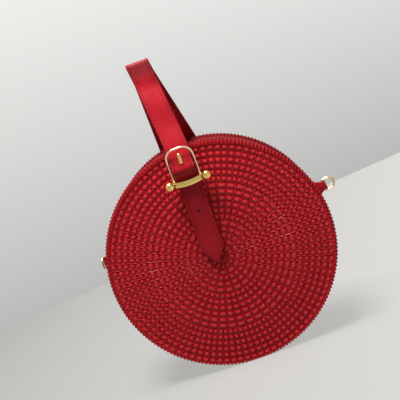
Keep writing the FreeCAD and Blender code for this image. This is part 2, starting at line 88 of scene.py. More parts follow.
class Finish:
    # a material with one Principled shader; constants go straight on its sockets
    def __init__(self, name, **constants):
        self.material = bpy.data.materials.new(name)
        self.material.use_nodes = True
        self.tree = self.material.node_tree
        self.shader = self.tree.nodes["Principled BSDF"]
        for key, value in constants.items():
            self.set(key.replace("_", " "), value)

    def add(self, kind, settings=None, sockets=None):
        # one node with its settings and what goes into its sockets
        node = self.tree.nodes.new(kind)
        for key, value in (settings or {}).items():
            setattr(node, key, value)
        for key, value in (sockets or {}).items():
            self.plug(node.inputs[key], value)
        return node

    def plug(self, socket, value):
        # a link from a socket or a Num, else a constant
        if isinstance(value, Num):
            value = value.socket
        if isinstance(value, bpy.types.NodeSocket):
            self.tree.links.new(value, socket)
        else:
            socket.default_value = value

    def set(self, key, value):
        # a value for one of the shader's own sockets
        self.plug(self.shader.inputs[key], value)

    def num(self, kind, settings=None, sockets=None, output=0):
        # one output of a new node, ready for sums
        return Num(self, self.add(kind, settings, sockets).outputs[output])

    def place(self):
        # the point on the piece, in metres
        return self.add("ShaderNodeTexCoord").outputs["Object"]

    def spot(self, axis):
        # one coordinate of the point on the piece
        return self.num("ShaderNodeSeparateXYZ", None, {"Vector": self.place()}, axis)

    def mark(self, name):
        # a value that the mesh carries at each point
        return self.num("ShaderNodeAttribute", {"attribute_name": name}, None, "Fac")

    def cloud(self, scale, detail=3.0, rough=0.5):
        # soft noise from 0 to 1, about scale patches to the metre
        return self.num("ShaderNodeTexNoise", None,
                        {"Vector": self.place(), "Scale": scale, "Detail": detail, "Roughness": rough})

    def ramp(self, value, stops):
        # colour by value, straight between the stops
        node = self.add("ShaderNodeValToRGB", None, {"Fac": value})
        elements = node.color_ramp.elements
        while len(elements) < len(stops):
            elements.new(0.5)
        for element, (place, colour) in zip(elements, stops):
            element.position = place
            element.color = (*colour, 1)
        return node.outputs["Color"]

    def mix(self, share, first, second):
        # the first colour at share 0, the second at share 1; sockets 6 and 7 of a Mix are its colours
        sockets = {0: share, 6: first, 7: second}
        return self.add("ShaderNodeMix", {"data_type": "RGBA"}, sockets).outputs[2]

    def bump(self, height, distance):
        # fine relief, distance millimetres deep
        sockets = {"Height": height, "Distance": distance * mm, "Strength": 1.0}
        self.set("Normal", self.add("ShaderNodeBump", None, sockets).outputs["Normal"])


discs = {
    "radius": 95.0, "halfDepth": 30.0, "thickness": 3.0, "crown": 2.5, "flat": 7.0,
    "drop": 1.6,   # the weave's middle lies this far under the disc's
    "zones": ((1, 3, 12), (4, 6, 24), (7, 12, 48), (13, 18, 96)),   # first ring, last ring, beads in a ring
    "ringPitch": 5.1, "relief": 1.1, "perBead": 11, "perRing": 7, "hub": 0.3, "hubSunk": 0.2,
    "fullness": 0.8, "beadGap": 0.75, "endRound": 1.6, "gapFloor": 0.04,
    "spokeRise": 0.72, "spokeFoot": 0.45, "spokeHalf": (0.12, 0.34),
    "gapMost": 0.13, "roundMost": 0.36, "footMost": 0.15,   # limits in parts of a bead's length
    "ribs": 192, "ribDepth": 0.5, "toothDepth": 0.9,
    # painted shade: the tone left in the troughs between ribs and in the grooves between beads; then the
    # tones of the two middle points
    "ribTroughShade": 0.35, "grooveShade": 0.2, "middleTones": (0.9, 0.3),
}
weaveEnd = discs["zones"][-1][1] * discs["ringPitch"]

woven = {
    "tones": ((0.0, (0.085, 0.007, 0.009)), (0.2, (0.54, 0.011, 0.017)),
              (0.6, (0.64, 0.016, 0.025)), (1.0, (0.75, 0.027, 0.043))),   # rim, groove, flank, top: painted shade at the rim and in the grooves, a painted highlight on the tops
    # the spokes' paler colour is a painted highlight
    "spoke": (0.80, 0.045, 0.058, 1), "spokeHighlightShare": 0.7,
    "level": 0.95, "patchScale": 38.0, "patchShare": 0.25, "grainScale": 1700.0, "grainShare": 0.10,
    "rough": 0.66, "beadFrom": (0.0, 0.4), "beadSheen": 0.22, "topSheen": 0.12, "grainRough": 0.1,
    "coat": 0.5, "coatFrom": (0.62, 0.85), "coatRough": 0.16, "specular": 0.15,
    "bumpGrain": 0.12, "bumpDepth": 0.35,
}

leather = {
    "coat": 0.06, "coatRough": 0.25, "specular": 0.16,
    "cellScale": 950.0, "patchScale": 55.0, "grainScale": 2400.0,
    "patchTone": 0.75, "cellTone": 0.25, "toneFrom": (0.25, 0.75),
    # painted shade with a hazy reflection for the fold's top, and how far it covers
    "foldShadeHaze": (0.44, 0.040, 0.052, 1), "foldShadeShare": 0.9, "edgeShare": 0.75, "edgeDark": 0.3,
    "patchRough": 0.16, "markRough": 0.2, "cellBump": 0.7, "grainBump": 0.3,
}

metal = {
    "driftScale": 90.0, "scuffScale": 900.0, "scuffFrom": (0.45, 0.8), "scuffRough": 0.16, "scuffDepth": 0.01,
}

cloth = {
    "rough": 0.85, "sheen": 0.2, "threadTone": 0.6, "patchTone": 0.4, "patchScale": 70.0, "threadDepth": 0.12,
}


def wovenRedFinish():
    # tone by height: painted shade, darkest at the rim and in the grooves, up to a painted highlight on the
    # bead's top, with patches and fine grain; the spokes between the columns of beads are paler, a painted
    # highlight, and the coat lies on the tops only
    f = Finish("wovenRed", Coat_Roughness=woven["coatRough"], Specular_IOR_Level=woven["specular"])
    relief = f.mark("relief")
    x = f.spot("X")
    z = f.spot("Z") - (axisZ - discs["drop"]) * mm
    reach = (x * x + z * z) ** 0.5
    beads = discs["zones"][0][2]
    for firstRing, _, _ in discs["zones"][1:]:
        beads = beads * (1 + reach.over((firstRing - 1) * discs["ringPitch"] * mm))
    phase = x.angle(z) / fullTurn * beads + 0.5
    gap = (phase.fraction() - 0.5).size() * fullTurn * reach / beads
    low, high = discs["spokeHalf"]
    # where the spokes get their painted highlight, and their bump
    spoke = (1 - gap.between(low * mm, high * mm)) * reach.under(weaveEnd * mm)
    patches = f.cloud(woven["patchScale"], detail=2.0) - 0.5
    fine = f.cloud(woven["grainScale"], detail=2.0)
    level = relief * (woven["level"] + patches * woven["patchShare"] + (fine - 0.5) * woven["grainShare"])
    f.set("Base Color", f.mix(spoke * woven["spokeHighlightShare"], f.ramp(level, woven["tones"]), woven["spoke"]))
    sheen = relief.between(*woven["beadFrom"]) * woven["beadSheen"] + relief * woven["topSheen"]
    f.set("Roughness", woven["rough"] - sheen + (fine - 0.5) * woven["grainRough"])
    f.set("Coat Weight", relief.between(*woven["coatFrom"]) * woven["coat"])
    f.bump(fine * woven["bumpGrain"] + spoke, woven["bumpDepth"])
    return f.material


def leatherFinish(name, deep, bright, rough, grain, gloss=1.0):
    # smooth leather: tone by slow patches and cells of grain; a piece's marks take edges dark, and over a
    # fold's top they paint shade with a hazy reflection and make it duller
    f = Finish(name, Coat_Weight=leather["coat"] * gloss, Coat_Roughness=leather["coatRough"],
               Specular_IOR_Level=leather["specular"] * gloss)
    cells = f.num("ShaderNodeTexVoronoi", {"feature": "SMOOTH_F1"},
                  {"Vector": f.place(), "Scale": leather["cellScale"]}, "Distance")
    patches = f.cloud(leather["patchScale"])
    fine = f.cloud(leather["grainScale"], detail=2.0)
    edge = f.mark("edge")
    dullShade = f.mark("dullShade")
    level = patches * leather["patchTone"] + cells * leather["cellTone"]
    tone = f.ramp(level.between(*leather["toneFrom"]), [(0.0, deep), (1.0, bright)])
    # painted shade with a hazy reflection over the fold's top
    tone = f.mix(dullShade * leather["foldShadeShare"], tone, leather["foldShadeHaze"])
    dark = [part * leather["edgeDark"] for part in deep]
    f.set("Base Color", f.mix(edge * leather["edgeShare"], tone, (*dark, 1)))
    f.set("Roughness", rough + (patches - 0.5) * leather["patchRough"] + (edge + dullShade) * leather["markRough"])
    f.bump(cells * leather["cellBump"] + fine * leather["grainBump"], grain)
    return f.material


def goldFinish(name, deep, bright, rough):
    # polished plate: faint scuffs and a slow drift of tone
    f = Finish(name, Metallic=1.0)
    scuffs = f.cloud(metal["scuffScale"], detail=4.0, rough=0.7)
    drift = f.cloud(metal["driftScale"], detail=2.0)
    f.set("Base Color", f.ramp(drift, [(0.3, deep), (0.7, bright)]))
    f.set("Roughness", rough + scuffs.between(*metal["scuffFrom"]) * metal["scuffRough"])
    f.bump(scuffs, metal["scuffDepth"])
    return f.material


def clothFinish(name, deep, bright, threads):
    # woven cloth: the mean of two crossed waves of thread, with slow patches of tone
    f = Finish(name, Roughness=cloth["rough"], Sheen_Weight=cloth["sheen"])
    along, across = (f.num("ShaderNodeTexWave", {"bands_direction": axis},
                           {"Vector": f.place(), "Scale": threads}, "Fac") for axis in "XZ")
    height = along * 0.5 + across * 0.5
    level = height * cloth["threadTone"] + f.cloud(cloth["patchScale"]) * cloth["patchTone"]
    f.set("Base Color", f.ramp(level, [(0.2, deep), (0.8, bright)]))
    f.bump(height, cloth["threadDepth"])
    return f.material


def fibreFinish(name, deep, bright, scale, detail, rough=0.5, depth=0.0):
    # dull fibre in flecks of two tones, pressed flat or with a little relief
    f = Finish(name, Roughness=0.9)
    flecks = f.cloud(scale, detail, rough)
    f.set("Base Color", f.ramp(flecks, [(0.3, deep), (0.7, bright)]))
    if depth:
        f.bump(flecks, depth)
    return f.material


wovenRed = wovenRedFinish()
# gusset and zip strips: the leather's red darkened with painted shade
shadedSmoothRed = leatherFinish("shadedSmoothRed", (0.16, 0.009, 0.013), (0.23, 0.013, 0.018),
                          rough=0.62, grain=0.06, gloss=0.3)
strapRed = leatherFinish("strapRed", (0.46, 0.011, 0.019), (0.62, 0.018, 0.032),
                         rough=0.36, grain=0.02, gloss=0.7)
redThread = leatherFinish("redThread", (0.38, 0.010, 0.016), (0.54, 0.017, 0.028), rough=0.6, grain=0.03)
paleGold = goldFinish("paleGold", (0.84, 0.57, 0.14), (0.94, 0.69, 0.24), rough=0.15)
# painted highlight: a paler copy of the gold for the thin wire of the frame and rings
highlightCreamGold = goldFinish("highlightCreamGold", (0.90, 0.70, 0.38), (0.97, 0.80, 0.50), rough=0.15)
# painted shade: a dark copy of the gold for the collars between bar and balls
collarShadeGold = goldFinish("collarShadeGold", (0.20, 0.13, 0.04), (0.30, 0.20, 0.06), rough=0.25)
liningCloth = clothFinish("liningCloth", (0.12, 0.006, 0.01), (0.24, 0.014, 0.02), threads=420.0)
tapeCloth = clothFinish("tapeCloth", (0.10, 0.004, 0.007), (0.22, 0.01, 0.016), threads=300.0)
stiffBoard = fibreFinish("stiffBoard", (0.30, 0.26, 0.20), (0.50, 0.45, 0.37),
                         scale=420.0, detail=5.0, rough=0.7, depth=0.1)
# painted shade for the inside of the punched hole
punchedHoleShade = fibreFinish("punchedHoleShade", (0.006, 0.002, 0.002), (0.02, 0.004, 0.004),
                          scale=1500.0, detail=4.0)
print("finishes ready")


# Meshes

def circleAngles(count):
    # evenly spaced angles of one turn
    return np.linspace(0, fullTurn, count, endpoint=False)


def unit(vectors):
    # each vector over its own length
    return vectors / np.linalg.norm(vectors, axis=-1, keepdims=True)


def runLength(path):
    # distance along a path at each of its points: the sum of the steps so far
    return np.concatenate([[0], np.cumsum(np.linalg.norm(np.diff(path, axis=0), axis=1))])


def smoothStep(values, low, high):
    # 0 under low, 1 over high, a smooth step between
    share = np.clip((values - low) / (high - low), 0, 1)
    return share * share * (3 - 2 * share)


def gridFaces(rows, columns, first=0, wrapRows=False):
    # quads between neighbouring rows and columns of a numbered grid whose columns close to a ring
    index = first + np.arange(rows * columns).reshape(rows, columns)
    if wrapRows:
        index = np.vstack([index, index[:1]])
    index = np.hstack([index, index[:, :1]])
    corners = [index[:-1, :-1], index[1:, :-1], index[1:, 1:], index[:-1, 1:]]
    return np.stack(corners, -1).reshape(-1, 4)


def loftFaces(rows, columns):
    # the quads of closed sections in a row, with a face over the first and over the last
    ends = np.arange(columns)
    return [gridFaces(rows, columns), ends[::-1], ends + (rows - 1) * columns]


def linkObject(name, data):
    # a new object in the scene
    thing = bpy.data.objects.new(name, data)
    bpy.context.collection.objects.link(thing)
    return thing


def makePiece(name, points, faceSets, material, body, slot, replaced=(), marks=None, sharp=40.0):
    # points in millimetres become an object that rides on a body, or is left for a blend if that is None
    mesh = bpy.data.meshes.new(name)
    faces = [row for faceSet in faceSets for row in np.atleast_2d(faceSet).tolist()]
    mesh.from_pydata((np.reshape(points, (-1, 3)) * mm).tolist(), [], faces)
    for key, values in (marks or {}).items():
        layer = mesh.attributes.new(key, "FLOAT", "POINT")
        layer.data.foreach_set("value", np.asarray(values, dtype=np.float32).ravel())
    work = bmesh.new()
    work.from_mesh(mesh)
    bmesh.ops.recalc_face_normals(work, faces=work.faces)
    work.to_mesh(mesh)
    work.free()
    mesh.shade_smooth()
    mesh.set_sharp_from_angle(angle=np.radians(sharp))
    mesh.materials.append(material)
    piece = linkObject(name, mesh)
    if replaced:
        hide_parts(*replaced)
    if body:
        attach(piece, body)
    return piece


def turnDrum(points, degrees):
    # turns points about the drum's axis, from the top towards the right
    a = np.radians(degrees)
    x, y, z = points[..., 0], points[..., 1], points[..., 2] - axisZ
    return np.stack([x * np.cos(a) + z * np.sin(a), y, axisZ - x * np.sin(a) + z * np.cos(a)], -1)


def standPath(path, x):
    # depths, and heights over the drum's axis, as points of the frame at one sideways place
    return np.stack([0 * path[:, 0] + x, path[:, 0], axisZ + path[:, 1]], -1)


def roundedPath(corners, radii, step, closed=False):
    # straight runs joined by tangent arcs, as points about one step apart, closer on the arcs
    corners = np.asarray(corners, float)
    count = len(corners)
    places = []
    for i, radius in enumerate(radii):
        if radius <= 0 or (not closed and i in (0, count - 1)):
            places.append(corners[i][None])
            continue
        before = unit(corners[i] - corners[i - 1])
        after = unit(corners[(i + 1) % count] - corners[i])
        inward, forward = unit(after - before), unit(before + after)
        turn = np.arccos(np.clip(before @ after, -1, 1))
        centre = corners[i] + inward * radius / np.cos(turn / 2)
        arcPoints = max(4, int(np.ceil(turn * radius / (step * 0.5))))
        sweep = np.linspace(-turn / 2, turn / 2, arcPoints)[:, None]
        places.append(centre + radius * (-np.cos(sweep) * inward + np.sin(sweep) * forward))
    if closed:
        places.append(places[0][:1])
    path = np.vstack(places)
    apart = np.linalg.norm(np.diff(path, axis=0), axis=1)
    path = path[np.concatenate([[True], apart > 1e-5])]   # without points that repeat the one before
    runs = []
    for start, end in zip(path, path[1:]):
        runPoints = max(2, int(np.ceil(np.linalg.norm(end - start) / step)) + 1)
        runs.append(np.linspace(start, end, runPoints)[:-1])
    if not closed:
        runs.append(path[-1:])
    return np.vstack(runs)


def tubePart(path, flat, radius, sides, closed=False):
    # a circle, or an ellipse given as two radii, carried along a path in a plane with the normal flat
    along = unit(np.roll(path, -1, 0) - np.roll(path, 1, 0) if closed else np.gradient(path, axis=0))
    flat = unit(flat - (along @ flat)[:, None] * along)
    aside = np.cross(flat, along)
    radii = radius if isinstance(radius, tuple) else (radius, radius)
    wide, deep = (np.broadcast_to(r, len(path))[:, None] for r in radii)
    a = circleAngles(sides)[:, None]
    points = path[:, None] + (aside * wide)[:, None] * np.cos(a) + (flat * deep)[:, None] * np.sin(a)
    faces = [gridFaces(len(path), sides, wrapRows=True)] if closed else loftFaces(len(path), sides)
    return points.reshape(-1, 3), faces


def hoopPath(x, y, z, radius, count):
    # a circle about a sideways axis
    a = circleAngles(count)
    return np.stack([0 * a + x, y + radius * np.cos(a), z + radius * np.sin(a)], -1)


def joinParts(parts):
    # several (points, faces) pairs as one, with the faces renumbered
    points, faces, first = [], [], 0
    for somePoints, faceSets in parts:
        points.append(somePoints)
        faces += [np.atleast_2d(faceSet) + first for faceSet in faceSets]
        first += len(somePoints)
    return np.vstack(points), faces


def ballPart(centre, radius, columns, rows):
    # a sphere: circles between two poles
    up = np.linspace(-np.pi / 2, np.pi / 2, rows + 1)[1:-1, None]
    a = circleAngles(columns)
    circles = np.stack([np.sin(up) + 0 * a, np.cos(up) * np.cos(a), np.cos(up) * np.sin(a)], -1)
    points = np.vstack([circles.reshape(-1, 3), [[-1, 0, 0], [1, 0, 0]]]) * radius + centre
    count = (rows - 1) * columns
    first = np.arange(columns)
    last = first + count - columns
    caps = [np.stack([np.roll(first, -1), first, np.full(columns, count)], -1),
            np.stack([last, np.roll(last, -1), np.full(columns, count + 1)], -1)]
    return points, [gridFaces(rows - 1, columns)] + caps


def stitchRow(centres, along, outward, length, thick):
    # a capsule of thread at each centre: rings with place and radius in parts of its length and thickness
    shape = np.array([[-0.5, 0.05], [-0.42, 0.7], [0.0, 1.0], [0.42, 0.7], [0.5, 0.05]])
    sides = 6
    a = circleAngles(sides)
    aside = np.cross(along, outward)
    t, s = shape[:, 0] * length, shape[:, 1] * thick
    points = (centres[:, None, None] + along[:, None, None] * t[:, None, None]
              + aside[:, None, None] * (s[:, None] * np.cos(a))[..., None]
              + outward[:, None, None] * (s[:, None] * np.sin(a))[..., None])
    first = len(shape) * sides * np.arange(len(centres))[:, None]
    walls, start, stop = loftFaces(len(shape), sides)
    return points.reshape(-1, 3), [(walls + first[:, None]).reshape(-1, 4), start + first, stop + first]


# Woven discs

def crownRise(r):
    # rise of a disc's face over its rim: a shallow sphere inside the flat border
    edge = discs["radius"] - discs["flat"]
    ball = (edge ** 2 + discs["crown"] ** 2) / (2 * discs["crown"])
    return np.where(r < edge, np.sqrt(ball ** 2 - np.minimum(r, edge) ** 2) - (ball - discs["crown"]), 0.0)


def beadHeight(r, turn, beads):
    # a wave across the rings times a bead with rounded ends along them, or the spoke in a gap if it is higher
    ring = (0.5 - 0.5 * np.cos(fullTurn * r / discs["ringPitch"])) ** discs["fullness"]
    cell = fullTurn * r / beads
    aside = (0.5 - np.abs(np.mod(turn * beads, 1.0) - 0.5)) * cell
    gap = np.minimum(discs["beadGap"], discs["gapMost"] * cell)
    soft = np.minimum(discs["endRound"], discs["roundMost"] * cell)
    foot = np.minimum(discs["spokeFoot"], discs["footMost"] * cell)
    end = np.sqrt(1 - (1 - np.clip((aside - gap) / soft, 0, 1)) ** 2)
    spoke = discs["spokeRise"] * np.clip(1 - aside / foot, 0, 1)
    return np.maximum(ring * (discs["gapFloor"] + (1 - discs["gapFloor"]) * end), spoke)


def weaveZone(firstRing, lastRing, beads):
    # polar grid of the rings with one count of beads: the crown less the relief where no bead stands
    start = (firstRing - 1) * discs["ringPitch"]
    steps = (lastRing - firstRing + 1) * discs["perRing"]
    r = np.maximum(start + discs["ringPitch"] / discs["perRing"] * np.arange(steps), discs["hub"])
    columns = beads * discs["perBead"]
    r, turn = np.meshgrid(r, np.arange(columns) / columns, indexing="ij")
    bead = beadHeight(r, turn, beads)
    out = discs["halfDepth"] + crownRise(r) - discs["relief"] * (1 - bead)
    # tone by height: painted shade in the grooves between beads
    tone = discs["grooveShade"] + (1 - discs["grooveShade"]) * bead
    return r, turn, out, discs["drop"], tone


def rimZone():
    # border, edge and flat of the back, with ribs all round that lower the faces and cut teeth into the edge;
    # a row has radius, depth, share of the ribs, share of the teeth, share of the weave's drop, and tone,
    # which paints shade darkest at the edge
    edge, face = discs["radius"], discs["halfDepth"]
    back = face - discs["thickness"]
    rows = np.array([
        (weaveEnd, face - 0.45, 0, 0, 1, 0.45),
        (weaveEnd + 0.15, face - 0.15, 0.5, 0, 1, 0.4),
        (weaveEnd + 0.3, face, 1, 0, 1, 0.35),
        (edge - 1.0, face, 1, 0.3, 0, 0.28),
        (edge - 0.35, face - 0.3, 1, 0.8, 0, 0.08),
        (edge, face - 0.9, 1, 1, 0, 0.05),
        (edge, back + 0.9, 1, 1, 0, 0.05),
        (edge - 0.35, back + 0.2, 1, 0.8, 0, 0.05),
        (edge - 1.2, back, 0, 0.2, 0, 0.1),
        (edge - discs["flat"], back, 0, 0, 0, 0.2),
    ])
    r, out, ribShare, toothShare, dropShare, tone = rows.T[..., None]
    columns = discs["zones"][-1][2] * discs["perBead"]
    turn = np.arange(columns) / columns
    rib = 0.5 - 0.5 * np.cos(fullTurn * discs["ribs"] * turn)
    facing = np.sign(out - face + discs["thickness"] / 2)
    out = out - facing * discs["ribDepth"] * ribShare * (1 - rib)
    r = r - discs["toothDepth"] * toothShare * (1 - rib)
    # painted shade in the troughs between ribs
    tone = tone * (discs["ribTroughShade"] + (1 - discs["ribTroughShade"]) * rib)
    return r, turn, out, discs["drop"] * dropShare, tone


def sewCircles(inner, outer):
    # faces between two circles: a quad to each step, or a triangle and a quad where the count doubles
    ahead = np.roll(inner, -1)
    if len(outer) == len(inner):
        return [np.stack([inner, outer, np.roll(outer, -1), ahead], -1)]
    even, odd = outer[0::2], outer[1::2]
    return [np.stack([inner, even, odd], -1), np.stack([inner, odd, np.roll(even, -1), ahead], -1)]


def wovenDisc(name, side, body, node):
    # polar grids from the hub out and round the edge, sewn where they meet; a point closes each face
    zones = [weaveZone(*zone) for zone in discs["zones"]] + [rimZone()]
    points, faces, tones, first = [], [], [], 0
    for i, (r, turn, out, drop, tone) in enumerate(zones):
        a = fullTurn * turn
        z = np.maximum(axisZ - drop + r * np.cos(a), 0.0)
        points.append(np.stack([r * np.sin(a), side * out, z], -1).reshape(-1, 3))
        tones.append(tone.ravel())
        rows, columns = r.shape
        faces.append(gridFaces(rows, columns, first))
        first += rows * columns
        lastCircle = first - columns + np.arange(columns)
        if i + 1 < len(zones):
            faces += sewCircles(lastCircle, first + np.arange(zones[i + 1][0].shape[1]))
    start = np.arange(zones[0][0].shape[1])
    faces.append(np.stack([np.roll(start, -1), start, np.full(len(start), first)], -1))
    faces.append(np.stack([lastCircle, np.roll(lastCircle, -1), np.full(len(lastCircle), first + 1)], -1))
    top = discs["halfDepth"] + discs["crown"]
    points.append([[0, side * (top - discs["hubSunk"]), axisZ - discs["drop"]]])
    points.append([[0, side * (top - discs["thickness"]), axisZ]])
    relief = np.concatenate(tones + [discs["middleTones"]])
    makePiece(name, np.vstack(points), faces, wovenRed, body, "woven_red", (node,),
              {"relief": relief}, sharp=60.0)


wovenDisc("frontDisc", -1, "front_shell", "front_panel")
wovenDisc("backDisc", 1, "bag_body", "back_panel")
print("woven discs made")


# Leather and cloth round the drum

drum = {
    "leather": (90.0, 92.0), "cloth": (89.1, 89.9),   # inner and outer radius of each layer
    "edge": 26.9, "bulge": 0.7, "strip": (7.0, 27.0), "tape": (2.8, 15.0), "zipEnd": 104.0, "zipGap": 0.15,
    "step": 1.2, "cornerShare": 0.3, "cornerMark": 0.7,
    "stitchGap": 3.3, "stitchLength": 2.3, "stitchThick": 0.28, "stitchEdge": 2.4, "stitchRise": 0.02,
}
linings = {"hub": 0.5, "radius": 87.9, "outer": 25.3, "inner": 24.5, "circles": 24, "columns": 96}


def flatProfile(inner, outer, low, high, soft, count, bulge):
    # a flat strip's soft-edged section, out along the outer face, back along the inner, and its edge marks
    share = np.linspace(0, 1, count)
    y = low + soft + (high - low - 2 * soft) * share
    swell = bulge * (1 - (2 * share - 1) ** 2)
    middle, corner = (inner + outer) / 2, soft * drum["cornerShare"]
    section = [(outer - corner, low + corner), *zip(outer + swell, y), (outer - corner, high - corner),
               (middle, high), (inner + corner, high - corner), *zip((inner + swell)[::-1], y[::-1]),
               (inner + corner, low + corner), (middle, low)]
    flat, mark = [0.0] * count, drum["cornerMark"]
    return np.array(section), [mark, *flat, mark, 1.0, mark, *flat, mark, 1.0]


def drumBand(name, node, layer, depths, ends, material, body, slot, soft, count, bulge=0.0):
    # a flat strip between two depths, carried round the drum's axis between two angles from the top
    section, marks = flatProfile(*drum[layer], *sorted(depths), soft, count, bulge)
    r, y = section.T
    turn = np.radians(np.linspace(*ends, int(np.ptp(ends) / drum["step"]) + 2))[:, None]
    points = np.stack([np.sin(turn) * r, 0 * turn + y, axisZ + np.cos(turn) * r], -1)
    return makePiece(name, points, loftFaces(len(turn), len(r)), material, body, slot, (node,),
                     {"edge": np.tile(marks, len(turn))}, sharp=50.0)


def gussetPieces():
    # the gusset and its lining follow the back disc at the back and the front disc at the front
    depths, ends = (-drum["edge"], drum["edge"]), (drum["zipEnd"], 360 - drum["zipEnd"])
    gusset = drumBand("gussetLeather", "bottom_gusset", "leather", depths, ends, shadedSmoothRed, None,
                      "red_leather", soft=0.5, count=31, bulge=drum["bulge"])
    lining = drumBand("gussetCloth", "gusset_lining", "cloth", depths, ends, liningCloth, None,
                      "lining_cloth", soft=0.2, count=31, bulge=drum["bulge"])
    for piece in (gusset, lining):
        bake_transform(piece)


def zipSide(side, word, body):
    # a leather strip with a row of stitches, and the tape under it
    end = drum["zipEnd"] - drum["zipGap"]
    strip, tape = ([side * depth for depth in drum[part]] for part in ("strip", "tape"))
    drumBand("zipStrip" + word, "zip_strip_" + word.lower(), "leather", strip, (-end, end), shadedSmoothRed, body,
             "red_leather", soft=0.45, count=13)
    drumBand("zipTape" + word, "zip_tape_" + word.lower(), "cloth", tape, (-end, end), tapeCloth, body,
             "zip_cloth", soft=0.15, count=9)
    outer = drum["leather"][1]
    turn = np.radians(np.arange(-end + 1, end - 1, np.degrees(drum["stitchGap"] / outer)))
    outward = np.stack([np.sin(turn), 0 * turn, np.cos(turn)], -1)
    along = np.stack([np.cos(turn), 0 * turn, -np.sin(turn)], -1)
    middle = (0, side * (drum["strip"][0] + drum["stitchEdge"]), axisZ)
    centres = outward * (outer + drum["stitchRise"]) + middle
    stitches = stitchRow(centres, along, outward, drum["stitchLength"], drum["stitchThick"])
    makePiece("zipStitches" + word, *stitches, redThread, body, "red_leather")


def liningDisc(name, side, body, node):
    # a thin crowned disc behind the board: circles from the middle out, over the edge and back
    near, far, count = linings["hub"], linings["radius"], linings["circles"]
    r = np.concatenate([np.linspace(near, far, count), np.linspace(far, near, count)])
    out = np.repeat([linings["outer"], linings["inner"]], count) + crownRise(r)
    a = circleAngles(linings["columns"])
    r, out = r[:, None], out[:, None]
    points = np.stack([r * np.sin(a), side * out + 0 * a, axisZ + r * np.cos(a)], -1)
    makePiece(name, points, loftFaces(2 * count, len(a)), liningCloth, body, "lining_cloth", (node,))


gussetPieces()
zipSide(-1, "Front", "front_shell")
zipSide(1, "Back", "bag_body")
liningDisc("frontCloth", -1, "front_shell", "front_lining")
liningDisc("backCloth", 1, "bag_body", "back_lining")
print("gusset, zip and linings made")


# Strap and handle

strap = {
    # depth, and height over the drum's axis, from the tail's point up over the fold and down to the sewn end
    "corners": ((-34.0, -4.0), (-36.542, 70.0), (-45.2, 76.2), (-15.3, 151.8), (-14.2, 172.0),
                (32.22, 95.0), (33.293, 50.0)),
    "radii": (0, 4.0, 4.2, 55.0, 1.7, 8.0, 0), "step": 1.0,
    "shift": -4.4, "halfWidth": 9.6, "thickness": 2.4, "pointLength": 12.0, "tipHalf": 0.9,
    "bendHeight": 97.45, "lean": 6.9, "leanEase": 4.0,
    "flareTop": 158.7, "footHeight": 95.0, "footHalf": 17.0, "footShift": -6.5, "endRound": 8.5,
    "bendDepth": -0.0354, "footDepth": 0.03222,   # where the two lengths bend, in metres
    "waveLength": 40.0, "waveDepth": 0.4, "waveTop": 142.0,
    "waveIn": (92.0, 100.0), "waveOut": (146.0, 156.0),   # heights between which the wave grows, and dies out
    # half of the section: distance in from the edge, height in parts of the thickness, edge mark
    "section": ((0.0, 0.0, 1.0), (0.12, 0.26, 1.0), (0.45, 0.44, 0.75), (1.0, 0.5, 0.12), (1.8, 0.5, 0.0),
                (2.3, 0.43, 0.3), (2.6, 0.37, 0.75), (3.0, 0.40, 0.3), (3.8, 0.42, 0.0), (6.0, 0.42, 0.0)),
    "middleRise": 0.42, "underMost": 0.44, "pressFrom": 7.0, "dullShadeFrom": (150.0, 164.0), "endDark": 2.2,
    "borderWidth": 2.5, "stitchGap": 3.4, "stitchLength": 2.4, "stitchThick": 0.3, "stitchRise": 0.40,
    "stitchSkip": 3.0, "stitchLeast": 0.3, "hole": 41.0, "holeRadius": 1.3, "holeSides": 20,
    "holeRounds": ((1.0, -0.2), (1.0, 0.09), (0.85, 0.06), (0.1, 0.06)),   # share of the radius, height
}


def leanShift(z):
    # sideways place of the strap's middle at a height: a straight lean over the bend, eased in by a parabola
    ease = strap["leanEase"]
    over = np.maximum(z - strap["bendHeight"] + ease, 0.0)
    eased = np.where(over < 2 * ease, over ** 2 / (4 * ease), over - ease)
    return strap["shift"] - np.tan(np.radians(strap["lean"])) * eased


def strapPiece(name, path, centre, half, replaced):
    # the strap's section, with raised border and groove, carried along a path of depths and heights, with a
    # sideways place and a half width for each point
    along = unit(np.gradient(path, axis=0))
    outward = np.stack([-along[:, 1], along[:, 0]], -1)
    middle, most = strap["middleRise"], strap["underMost"]
    upper = np.array([(1, *row) for row in strap["section"]])
    lower = np.array([(1, inset, -min(rise, most), mark) for inset, rise, mark in strap["section"][1:]])
    mirror = (-1, 1, 1, 1)
    section = np.vstack([upper, (0, 0, middle, 0), upper[::-1] * mirror,
                         lower * mirror, (0, 0, -middle, 0), lower[::-1]])
    side, inset, rise, mark = section.T
    reach = np.maximum(half[:, None] - inset, half[:, None] * (1 - inset / strap["pressFrom"]))
    x = centre[:, None] + side * np.maximum(reach, 0.0)
    lift = rise * strap["thickness"]
    y = path[:, :1] + outward[:, :1] * lift
    z = path[:, 1:] + outward[:, 1:] * lift
    points = np.stack([x, y, axisZ + z], -1)
    length = runLength(path)
    # darker within a short length of each end: painted shade along the fold's top, and the same dark at the
    # tail's point and the sewn end
    ends = np.clip(1 - np.minimum(length, length[-1] - length) / strap["endDark"], 0, 1)
    edge = np.maximum(mark, ends[:, None])
    # the fold's top, where shade and a hazy reflection are painted and the leather is duller
    dullShade = np.repeat(smoothStep(path[:, 1], *strap["dullShadeFrom"]), len(section))
    return makePiece(name, points, loftFaces(len(path), len(section)), strapRed, None, "red_leather",
                     replaced, {"edge": edge, "dullShade": dullShade}, sharp=60.0)


